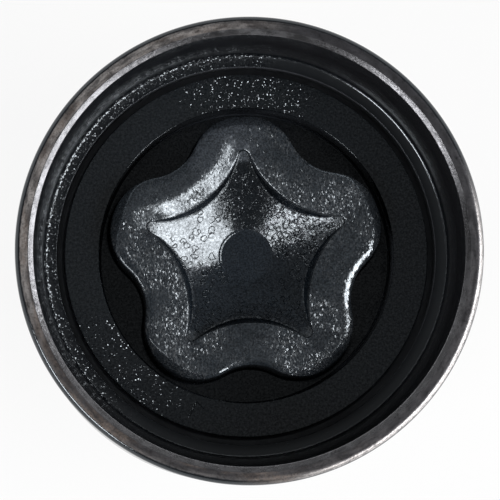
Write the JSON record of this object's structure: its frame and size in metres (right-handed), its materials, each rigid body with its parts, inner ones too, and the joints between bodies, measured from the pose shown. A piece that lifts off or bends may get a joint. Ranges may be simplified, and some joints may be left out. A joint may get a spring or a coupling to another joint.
{
  "type": "locking wheel nut",
  "caption": "Black locking wheel nut with a conical seat, a lobed drive boss with a star recess, and a free-spinning outer collar.",
  "frame": {"origin": "middle of the flat seat end face, which the nut stands on", "axes": "+Z along the thread axis towards the drive end, +Y towards one point of the star recess"},
  "size_m": [0.026, 0.026, 0.038],
  "materials": {
    "body_black": "glossy near-black coating over forged steel, finely pitted",
    "collar_black": "glossy near-black coating over turned steel, worn to bare grey-brown steel on the rim"
  },
  "bodies": {
    "nut": {"nut_body": "body_black"},
    "collar": {"spin_collar": "collar_black"}
  },
  "joints": [
    {"name": "collar_spin", "type": "hinge", "parent": "nut", "child": "collar", "pos_m": [0, 0, 0.02], "axis": [0, 0, 1], "continuous": true}
  ]
}
